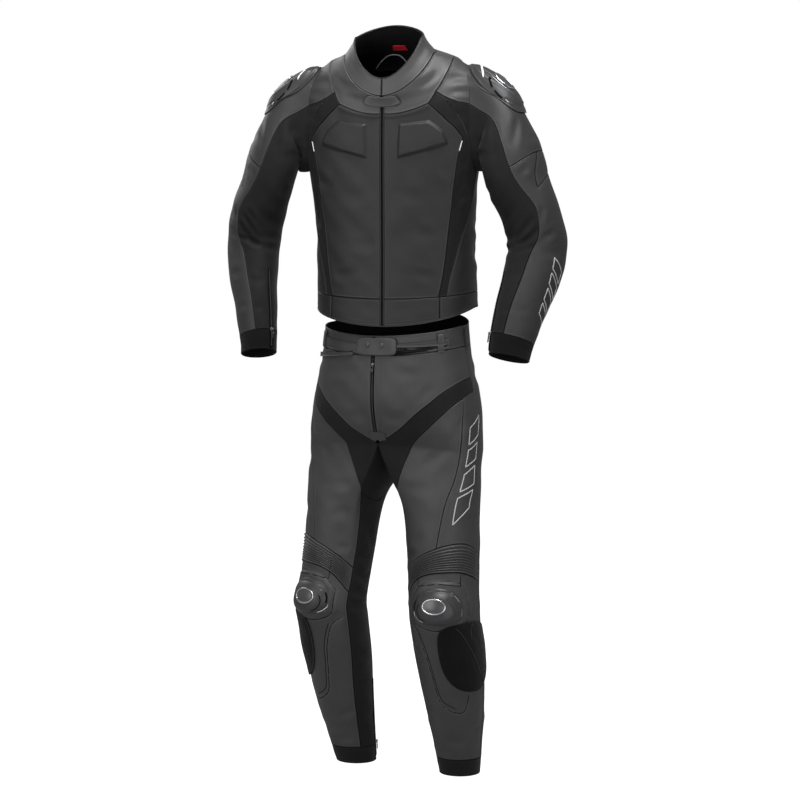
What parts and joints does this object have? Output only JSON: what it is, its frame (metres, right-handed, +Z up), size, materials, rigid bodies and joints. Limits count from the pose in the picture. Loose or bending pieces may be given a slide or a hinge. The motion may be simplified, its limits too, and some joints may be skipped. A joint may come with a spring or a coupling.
{
  "type": "motorcycle race suit",
  "caption": "Two-piece leather race suit for a motorcyclist, jacket above trousers, filled out and open at neck, cuffs and hems.",
  "frame": {"origin": "in the middle of the jacket's neck, between the shoulders, where the wearer holds the suit up", "axes": "+Z up, -Y to the front, +X to the wearer's left"},
  "size_m": [0.8192, 0.3162, 1.756],
  "materials": {
    "leather": "charcoal cowhide with a fine grain and a low sheen",
    "satin_leather": "lighter grey cowhide with a satin sheen on yoke and shoulders",
    "stretch_fabric": "matt black woven stretch fabric",
    "guard_plastic": "satin black moulded plastic",
    "slider_rubber": "matt black hook-and-loop patch for a knee slider",
    "metal": "dark nickel-plated zip hardware and snaps",
    "red_label": "red woven tape"
  },
  "bodies": {
    "suit": {"back": "leather", "back_leg_L": "leather", "back_leg_R": "leather", "belt_tab": "leather", "collar": "leather", "collar_lining": "stretch_fabric", "collar_tab": "leather", "cuff_L": "stretch_fabric", "cuff_R": "stretch_fabric", "cuff_zip_L": "guard_plastic", "cuff_zip_R": "guard_plastic", "fly_zip": "guard_plastic", "front_L": "leather", "front_R": "leather", "front_zip": "guard_plastic", "groin_L": "stretch_fabric", "groin_R": "stretch_fabric", "hem": "leather", "hip_front_L": "leather", "hip_front_R": "leather", "inner_leg_L": "stretch_fabric", "inner_leg_R": "stretch_fabric", "knee_guard_L": "guard_plastic", "knee_guard_R": "guard_plastic", "knee_stretch_L": "leather", "knee_stretch_R": "leather", "label": "red_label", "leg_cuff_L": "stretch_fabric", "leg_cuff_R": "stretch_fabric", "leg_zip_L": "guard_plastic", "leg_zip_R": "guard_plastic", "shin_L": "leather", "shin_R": "leather", "shoulder_L": "satin_leather", "shoulder_R": "satin_leather", "shoulder_guard_L": "guard_plastic", "shoulder_guard_R": "guard_plastic", "side_stretch_L": "stretch_fabric", "side_stretch_R": "stretch_fabric", "sleeve_inner_L": "stretch_fabric", "sleeve_inner_R": "stretch_fabric", "sleeve_lower_L": "leather", "sleeve_lower_R": "leather", "sleeve_upper_L": "leather", "sleeve_upper_R": "leather", "slider_patch_L": "slider_rubber", "slider_patch_R": "slider_rubber", "snap_1": "metal", "snap_2": "metal", "thigh_front_L": "leather", "thigh_front_R": "leather", "waist_belt": "leather", "waistband": "leather", "yoke": "satin_leather"},
    "fly_pull": {"fly_pull": "metal"},
    "cuff_pull_L": {"cuff_pull_L": "metal"},
    "cuff_pull_R": {"cuff_pull_R": "metal"},
    "leg_pull_L": {"leg_pull_L": "metal"},
    "leg_pull_R": {"leg_pull_R": "metal"}
  },
  "joints": [
    {"name": "fly_pull_turn", "type": "hinge", "parent": "suit", "child": "fly_pull", "pos_m": [-0.02557, -0.12127, -0.62484], "axis": [-0.9816, 0.1908, 0], "range_deg": [0, 110]},
    {"name": "cuff_pull_L_turn", "type": "hinge", "parent": "suit", "child": "cuff_pull_L", "pos_m": [0.25981, -0.14532, -0.54412], "axis": [-0.5078, 0.8511, -0.1337], "range_deg": [0, 110]},
    {"name": "cuff_pull_R_turn", "type": "hinge", "parent": "suit", "child": "cuff_pull_R", "pos_m": [-0.25981, -0.14532, -0.54412], "axis": [-0.5078, -0.8511, 0.1337], "range_deg": [0, 110]},
    {"name": "leg_pull_L_turn", "type": "hinge", "parent": "suit", "child": "leg_pull_L", "pos_m": [0.09457, 0.04131, -1.54898], "axis": [0.4711, 0.8559, 0.2131], "range_deg": [0, 110]},
    {"name": "leg_pull_R_turn", "type": "hinge", "parent": "suit", "child": "leg_pull_R", "pos_m": [-0.07607, 0.07448, -1.54898], "axis": [0.1162, -0.9701, -0.2131], "range_deg": [0, 110]}
  ]
}
